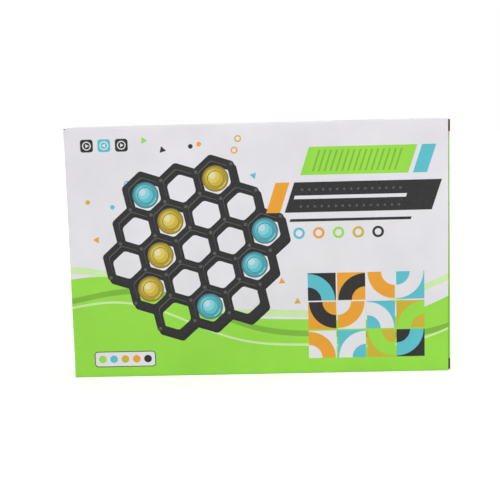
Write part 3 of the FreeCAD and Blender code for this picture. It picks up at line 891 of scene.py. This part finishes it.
def tube_outline(spans, beyond):
    """The sheet laid flat. The front and back panels' full width runs on round their folds."""
    (_, glue), (_, back), _, (bottom, front), (_, end) = spans
    back, bottom, front = back + beyond, bottom - beyond, front + beyond

    def end_of(back_end, front_end):
        return [(GLUE_NEAR, 0.0), (GLUE_FAR, glue), (back_end, glue), (back_end, back),
                (RING_END, back), (RING_END, bottom), (front_end, bottom), (front_end, front),
                (RING_END, front), (RING_END, end)]

    left = [(-along, around) for along, around in reversed(end_of(CUT_END, PANEL_END))]
    return end_of(PANEL_END, CUT_END) + left


def tube_folds(spans):
    """Where the papers over the closures' and the dust flaps' folds run on over the sheet."""
    _, back, (bottom, _), front, (top, _) = spans

    def fold(sign, end, around):
        first, last = sorted((sign * (end - OVERLAP), sign * (end + PAST_EDGE)))
        return first, min(around), last, max(around)

    folds = [fold(1, PANEL_END, back), fold(-1, PANEL_END, front)]
    for sign in (1, -1):
        for start, way in ((top, sign), (bottom, -sign)):
            middle = start + HALF_DEPTH - OUTER_CREASE
            folds.append(fold(sign, RING_END, [middle + way * DUST_LOW.y, middle + way * DUST_HIGH.y]))
    return folds


PAST_SHEET = 200.0
STRIPES = {"lime": (-110.0, 60.0), "charcoal": (66.0, 110.0)}
STRIPE_LOW = -7.0
STRIPE_HIGH = 3.0


def tube_design(spans):
    """The whole sheet's print: a lime bottom, the front's and the back's designs, and stripes on the top."""
    _, (_, back_end), _, (front_start, _), (top_start, _) = spans
    front_low = front_start - OUTER_CREASE
    back_low = back_end + OUTER_CREASE
    stripe = top_start + HALF_DEPTH
    design = Design()
    design.fill("lime", rectangle(-PAST_SHEET, back_end + PAST_EDGE, PAST_SHEET, front_start - PAST_EDGE))
    design.add(front_design(), lambda u, v: (u - PANEL_END, v + front_low))
    design.add(back_design(), lambda u, v: (PANEL_END - u, back_low - v))
    for word, (first, last) in STRIPES.items():
        design.fill(word, rectangle(first, stripe + STRIPE_LOW, last, stripe + STRIPE_HIGH))
    return design


def tube_fluting():
    """The five panels' fluting. The wave runs along the heading, and the flutes along the carton's width."""
    room = OUTER_CREASE + LAP_ROOM
    panel_end = PANEL_END - FLUTING_ROOM
    ring_end = RING_END - FLUTING_ROOM
    inner_top = HEIGHT - BOARD
    back, front, ring = (-CUT_END, panel_end), (-panel_end, CUT_END), (-ring_end, ring_end)
    panels = {
        "back": ((HALF_DEPTH, inner_top), -1j, (room, *back), (inner_top - room, *back)),
        "bottom": ((HALF_DEPTH, 0.0), -1, (room, *ring), (DEPTH - room, *ring)),
        "front": ((-HALF_DEPTH, 0.0), 1j, (room, *front), (HEIGHT - room, *front)),
        "top": ((-HALF_DEPTH, HEIGHT), 1, (room, *ring), (DEPTH - LAP_ROOM, *ring)),
        "glue_flap": ((INNER_DEPTH - GLUE_WIDTH, inner_top), 1, (0.0, -GLUE_NEAR, GLUE_NEAR),
                      (GLUE_WIDTH - 2 * LAP_ROOM, -GLUE_FAR, GLUE_FAR)),
    }
    pieces = []
    for word, (start, heading, *stops) in panels.items():
        path = tube_profile(start, heading, -1)
        path.run(HEIGHT)
        pieces.append(fluting("carton_fluting_" + word, stops,
                              lambda across, along, depth: path.lay(along, across, depth)))
    return pieces


def make_tube():
    outer, spans = tube_path(
        HEIGHT - BOARD, -1, (GLUE_WIDTH + BOARD, HEIGHT - BOARD, DEPTH, HEIGHT, DEPTH),
        [GLUE_CREASE] + [OUTER_CREASE] * 3)
    rows = []
    for start, length in ((spans[0][1], HEIGHT), (spans[3][0], HEIGHT - 2 * OUTER_CREASE)):
        rows += [start + length * k / PANEL_ROWS for k in range(1, PANEL_ROWS)]
    beyond = pi / 2 * OUTER_CREASE + BOARD - OUTER_CREASE
    printed = sheet("carton_printed_liner", tube_outline(spans, beyond), outer, ink_of("white"),
                    tube_design(spans), tube_folds(spans), rows)
    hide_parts("carton_tube")
    inner, spans = tube_path(
        HEIGHT - 2 * BOARD, 1,
        (GLUE_WIDTH, HEIGHT - 3 * BOARD, 2 * INNER_DEPTH, HEIGHT - 2 * BOARD, INNER_DEPTH + HALF_DEPTH),
        [INNER_CREASE] * 4)
    lining = sheet("carton_inner_liner", tube_outline(spans, pi / 4 * INNER_CREASE), inner, KRAFT)
    for piece in [printed, lining, *tube_fluting()]:
        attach(piece, "carton")


# Flaps: a flat board whose crease is rounded about the joint's axis. Its own directions are across the board,
# up to the crease and along the crease, and to_body takes a place in them to where it lies at rest.
Flap = namedtuple("Flap", "node slot reach span base to_body")
SIDES = {"right": (1, 0.0), "left": (-1, 180.0)}
CLOSURE_FIELD = (-60.0, 5.0)
OFF_PANEL = 5.0


def flap_at(node, slot, reach, span, base, origin, turn):
    matrix = Matrix.Translation(origin) @ turn.to_4x4()

    def to_body(*place):
        return tuple(matrix @ Vector(place))
    return Flap(node, slot, reach, span, base, to_body)


def make_flap(flap, wrap, outline_of, stops, design=Design(), folds=(), inner_of=None):
    """The three papers of one flap. The outline calls give the outline of a liner of a given length."""
    node, slot, reach, (low, high), base, to_body = flap
    printed, bare = (Profile(to_body, (side * HALF_BOARD, -reach), 1j, side) for side in (1, -1))
    for path, sweep in ((printed, wrap), (bare, wrap - 180.0)):
        path.run(reach)
        path.turn(HALF_BOARD, sweep)
    folds = [(low, reach - OVERLAP, high, printed.length + PAST_EDGE), *folds]
    pieces = [
        sheet(node + "_printed_liner", outline_of(printed.length), printed, ink_of(base), design, folds),
        sheet(node + "_inner_liner", (inner_of or outline_of)(bare.length), bare, KRAFT),
        fluting(node + "_fluting", stops, printed.lay),
    ]
    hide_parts(node)
    for piece in pieces:
        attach(piece, node)


def make_crease(flap, sweep, parent_span=None, over_fold=Design()):
    """The printed paper over a fold, laid at rest with one end on each board.

    The design's second value runs over the fold from the flap to the parent, and is 0 in its middle.
    """
    child, slot, _, span, base, to_body = flap
    path = Profile(to_body, (HALF_BOARD, -OVERLAP), 1j, 1)
    path.run(OVERLAP)
    path.turn(HALF_BOARD, sweep)
    path.run(HALF_BOARD + CREASE_GAP + OVERLAP)
    outline = [(along, 0.0) for along in span]
    outline += [(along, path.length) for along in reversed(parent_span or span)]
    rows = [k * BEND_STEP + STEP for k in range(1, int(path.length / BEND_STEP))]
    middle = path.length / 2
    design = Design()
    design.add(over_fold, lambda along, over: (along, middle + over * middle / OVERLAP))
    paper = sheet(child + "_crease", outline, path, ink_of(base), design, rows=rows, press=0.0)
    start, end = (Vector(path.lay(sum(span) / 2, around, 0.0)) * MM
                  for around in (path.length - OVERLAP, OVERLAP))
    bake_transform(paper)


def make_closure(side):
    sign, angle = SIDES[side]
    low, high = CLOSURE_LOW.z, HEIGHT - CLOSURE_LOW.z
    slit_low, slit_high = SLIT_LENGTH, HEIGHT - SLIT_LENGTH
    opening = BOARD + CREASE_GAP

    def edge(gap):
        return [(low, 0.0), (slit_low, 0.0), (slit_low, gap), (slit_high, gap), (slit_high, 0.0), (high, 0.0)]

    def outline(end, gap=opening):
        return edge(gap) + [(high, end), (low, end)]

    stops = [(*corner, CLOSURE_REACH - FLUTING_ROOM) for corner in edge(opening + FLUTING_ROOM)]
    over_fold = Design()
    over_fold.add(field(*CLOSURE_FIELD), lambda u, v: (v, u))
    design = Design()
    if side == "right":
        # The right closure's lime carries painted shading, paler higher up
        base = "graded_lime"
        over_fold.fill(base, rectangle(-OFF_PANEL, -OFF_PANEL, HEIGHT + OFF_PANEL, 0.0))
        top_inset = BOARD + GLUE_CREASE
    else:
        base = "white"
        design.add(over_fold, lambda u, v: (u, v + CLOSURE_REACH))
        top_inset = OUTER_CREASE
    for k, word in enumerate(("cyan", "yellow", "cyan")):
        token(design, 60.0 + 48.0 * k, CLOSURE_REACH / 2, 12.0, word)
    flap = flap_at(side + "_closure", "printed_end", CLOSURE_REACH, (low, high), base,
                   (sign * HINGE.x, sign * HINGE.y, 0.0), rotation(angle, "Z"))
    tuck_fold = (slit_low + SLIT_ROOM, opening - PAST_EDGE, slit_high - SLIT_ROOM, opening + OVERLAP)
    make_flap(flap, CLOSURE_WRAP, outline, stops, design, [tuck_fold],
              inner_of=lambda end: outline(end, opening + CREASE_BEVEL))
    crease_span = (OUTER_CREASE, HEIGHT - top_inset)
    make_crease(flap._replace(base="white"), 90.0, crease_span, over_fold)


def make_tuck_flap(side):
    sign, angle = SIDES[side]
    corner = TUCK_CORNER
    low, high = TUCK_LOW.z, HEIGHT - TUCK_LOW.z
    slit_low, slit_high = SLIT_LENGTH + SLIT_ROOM, HEIGHT - SLIT_LENGTH - SLIT_ROOM
    root = TUCK_LENGTH - HALF_BOARD - SLIT_GAP
    bend = TUCK_LENGTH - FLUTING_ROOM

    def outline(end):
        return [(low + corner, 0.0), (high - corner, 0.0), (high, corner), (high, root), (slit_high, root),
                (slit_high, end), (slit_low, end), (slit_low, root), (low, root), (low, corner)]

    stops = [(low, corner, root), (low + corner, 0.0, root), (slit_low, 0.0, root), (slit_low, 0.0, bend),
             (slit_high, 0.0, bend), (slit_high, 0.0, root), (high - corner, 0.0, root), (high, corner, root)]
    # The right tuck flap's lime carries painted shading, paler higher up
    flap = flap_at(side + "_tuck_flap", "printed_end", TUCK_LENGTH, (slit_low, slit_high),
                   "graded_lime" if side == "right" else "lime",
                   (sign * TUCK.x, sign * TUCK.y, 0.0), rotation(angle - 90.0 - TUCK_TILT, "Z"))
    make_flap(flap, TUCK_WRAP, outline, stops)
    make_crease(flap, 90.0 + TUCK_TILT)


def make_dust_flap(side, end_word):
    sign, angle = SIDES[side]
    low, high = DUST_LOW.y, DUST_HIGH.y
    edge = [(low, DUST_TAPER_RISE), (low + DUST_TAPER_RUN, 0.0), (high - DUST_MITRE, 0.0),
            (high, DUST_LENGTH - DUST_ROOT)]

    def outline(end):
        return edge[1:] + [(high, end), (low, end), edge[0]]

    height = HALF_BOARD
    turn = rotation(180.0, "Y" if side == "right" else "X")
    if end_word == "top":
        height = HEIGHT - HALF_BOARD
        turn = rotation(angle, "Z")
    upright = Matrix(((1, 0, 0), (0, 0, 1), (0, 1, 0)))
    flap = flap_at(f"{side}_{end_word}_dust_flap", "printed_board", DUST_LENGTH, (low, high), "white",
                   (sign * DUST.x, 0.0, height), turn @ upright)
    make_flap(flap, DUST_WRAP, outline, [(*corner, DUST_LENGTH - FLUTING_ROOM) for corner in edge])
    make_crease(flap, 90.0)


# Finishes of the pieces inside
SHEET_STEP = 0.4
DOT_SHARE = 0.38
FRAME_LINE = 0.9
SEAM_SHARE = 0.008


def dotted(node, margin, pitch, ground, words, shader):
    """A print for upright sheets: a coloured margin, a thin frame and dots, coloured sheet by sheet."""
    low, high = box_mm(node)
    across, through, up = shader.parts(shader.place)
    rooms, cells, squares, within = [], [], [], []
    for value, first, last in ((across, low.x, high.x), (up, low.z, high.z)):
        count = (last - first - 2 * margin - 1) // pitch
        start = (first + last - count * pitch) / 2
        run = shader.maths("DIVIDE", shader.minus(value, start * MM), pitch * MM)
        off = shader.minus(shader.maths("FRACT", run), 0.5)
        rooms += [shader.minus(value, first * MM), shader.minus(last * MM, value)]
        cells.append(shader.maths("FLOOR", run))
        squares.append(shader.times(off, off))
        within += [shader.maths("GREATER_THAN", run, 0.0), shader.maths("LESS_THAN", run, count)]
    room = shader.maths("MINIMUM", *rooms)
    inside_line = shader.maths("GREATER_THAN", room, (margin + FRAME_LINE) * MM)
    shader.cover(shader.minus(1.0, inside_line), linear(COLOURS["charcoal"]))
    shader.cover(shader.maths("LESS_THAN", room, margin * MM), linear(COLOURS[ground]))
    away = shader.maths("SQRT", shader.plus(*squares))
    dot = shader.times(inside_line, *within, shader.maths("LESS_THAN", away, DOT_SHARE))
    cells.append(shader.maths("FLOOR", shader.maths("DIVIDE", through, SHEET_STEP * MM)))
    key = shader.add("CombineXYZ", dict(enumerate(cells)))[0]
    draw = shader.add("TexWhiteNoise", {"Vector": key}, noise_dimensions="3D")["Value"]
    colour = linear(COLOURS[words[0]])
    for number in range(1, len(words)):
        is_next = shader.maths("GREATER_THAN", draw, number / len(words))
        colour = shader.mix(is_next, colour, linear(COLOURS[words[number]]))
    shader.cover(dot, colour)


CARD_PRINT = partial(dotted, "challenge_card_12", 4.0, 12.5, "lime", ("mist", "mist", "cyan", "yellow"))
LEAFLET_PRINT = partial(dotted, "rules_leaflet", 7.0, 24.0, "pale_lime", ("mist", "pale_cyan", "pale_yellow"))
FINISHES = {
    "insert_card": bare_paper("insert_card_paper", (206, 203, 194), (188, 184, 174), 0.25),
    "grid_plastic": moulded("grid_plastic", (52, 52, 50), 0.48, 0.02),
    "cyan_tray": moulded("cyan_tray_plastic", (92, 196, 192), 0.34, 0.006),
    "orange_tray": moulded("orange_tray_plastic", (240, 166, 42), 0.34, 0.006),
    "cyan_ball": moulded("cyan_ball_plastic", (95, 195, 208), 0.24, 0.003, 0.02, coat=0.3, seam=0.12),
    "yellow_ball": moulded("yellow_ball_plastic", (210, 182, 52), 0.24, 0.003, 0.02, coat=0.3, seam=0.12),
    "card_stock": bare_paper("card_stock_paper", (236, 235, 232), (228, 227, 223), 0.05, CARD_PRINT),
    "leaflet_paper": bare_paper("leaflet_sheet_paper", (240, 239, 234), (231, 230, 224), 0.08, LEAFLET_PRINT),
}


def dress_inner_pieces():
    for part in frame["record"]["subparts"]:
        finish = FINISHES.get(part["material_slot"])
        if finish:
            materials = frame["nodes"][part["node"]].data.materials
            materials.clear()
            materials.append(finish)


# Floor, light and camera
LENS_PIXELS = 1060.0
IMAGE_PIXELS = 500.0
SENSOR = 36.0
CAMERA_PLACE = (0.01996, -0.93087, 0.2370)
CAMERA_TURNS = (("Y", -1.543), ("X", 7.934), ("Z", -1.749))
WORLD_LEVEL = 0.48
FLOOR_SIZE = 12.0
FLOOR_GREY = (0.82, 0.82, 0.82, 1.0)
FLOOR_RISE = (0.3, 0.9, 0.45, 1.0)
WHITE = (1.0, 1.0, 1.0, 1.0)

# Each lamp's place, aim, size and power
LAMPS = {
    "key": ((-0.9, -1.7, 1.6), (0.0, 0.0, 0.1), (1.4, 1.4), 17.0),
    "fill": ((1.7, -0.8, 0.6), (0.1, 0.0, 0.1), (1.0, 1.4), 12.0),
    "rim": ((0.3, 1.6, 1.5), (0.0, 0.0, 0.1), (1.2, 1.2), 9.0),
}


def make_camera():
    data = bpy.data.cameras.new("photo_camera")
    data.sensor_width = SENSOR
    data.lens = LENS_PIXELS / IMAGE_PIXELS * SENSOR
    roll, pitch, yaw = (rotation(angle, axis) for axis, angle in CAMERA_TURNS)
    look = Matrix(((1, 0, 0), (0, 0, -1), (0, 1, 0)))
    turn = (roll @ pitch @ yaw).transposed() @ look
    camera = add_object("photo_camera", data)
    camera.matrix_world = Matrix.Translation(CAMERA_PLACE) @ turn.to_4x4()
    bpy.context.scene.camera = camera


def make_lamp(name, place, aim, size, power):
    data = bpy.data.lights.new(name, "AREA")
    data.shape = "RECTANGLE"
    data.size, data.size_y = size
    data.energy = power
    lamp = add_object(name, data)
    lamp.location = place
    lamp.rotation_euler = (Vector(aim) - Vector(place)).to_track_quat("-Z", "Y").to_euler()


def seen_plain(nodes):
    """1 for camera, glossy and transmission rays, so that what they meet shows as the plain background."""
    path = nodes.add("LightPath")
    return nodes.maths("MAXIMUM", path["Is Camera Ray"], path["Is Glossy Ray"], path["Is Transmission Ray"])


def make_world():
    world = bpy.data.worlds.new("studio")
    bpy.context.scene.world = world
    world.use_nodes = True
    nodes = Nodes(world.node_tree)
    background = world.node_tree.nodes["Background"].inputs
    nodes.plug(WHITE, background["Color"])
    nodes.plug(nodes.range(seen_plain(nodes), 0.0, 1.0, WORLD_LEVEL, 1.0), background["Strength"])


def make_floor():
    """A pale floor that is white to the camera farther out, and keeps the carton's soft shadow."""
    half = FLOOR_SIZE / 2
    mesh = bpy.data.meshes.new("floor")
    mesh.from_pydata([(u, v, 0.0) for u, v in rectangle(-half, -half, half, half)], [], [(0, 1, 2, 3)])
    floor = add_object("floor", mesh)
    shader = Shader("floor_paint", FLOOR_GREY)
    away = shader.vectors("LENGTH", shader.place)["Value"]
    glow = shader.times(seen_plain(shader), shader.range(away, *FLOOR_RISE, kind="SMOOTHSTEP"))
    mesh.materials.append(shader.finish(Roughness=0.9, Specular_IOR_Level=0.0, Emission_Color=WHITE,
                                        Emission_Strength=glow))


make_tube()
for side_word in SIDES:
    make_closure(side_word)
    make_tuck_flap(side_word)
    for end_name in ("top", "bottom"):
        make_dust_flap(side_word, end_name)
dress_inner_pieces()
make_camera()
make_world()
make_floor()
for lamp_name, lamp_settings in LAMPS.items():
    make_lamp(lamp_name, *lamp_settings)
bpy.context.scene.view_settings.view_transform = "Standard"
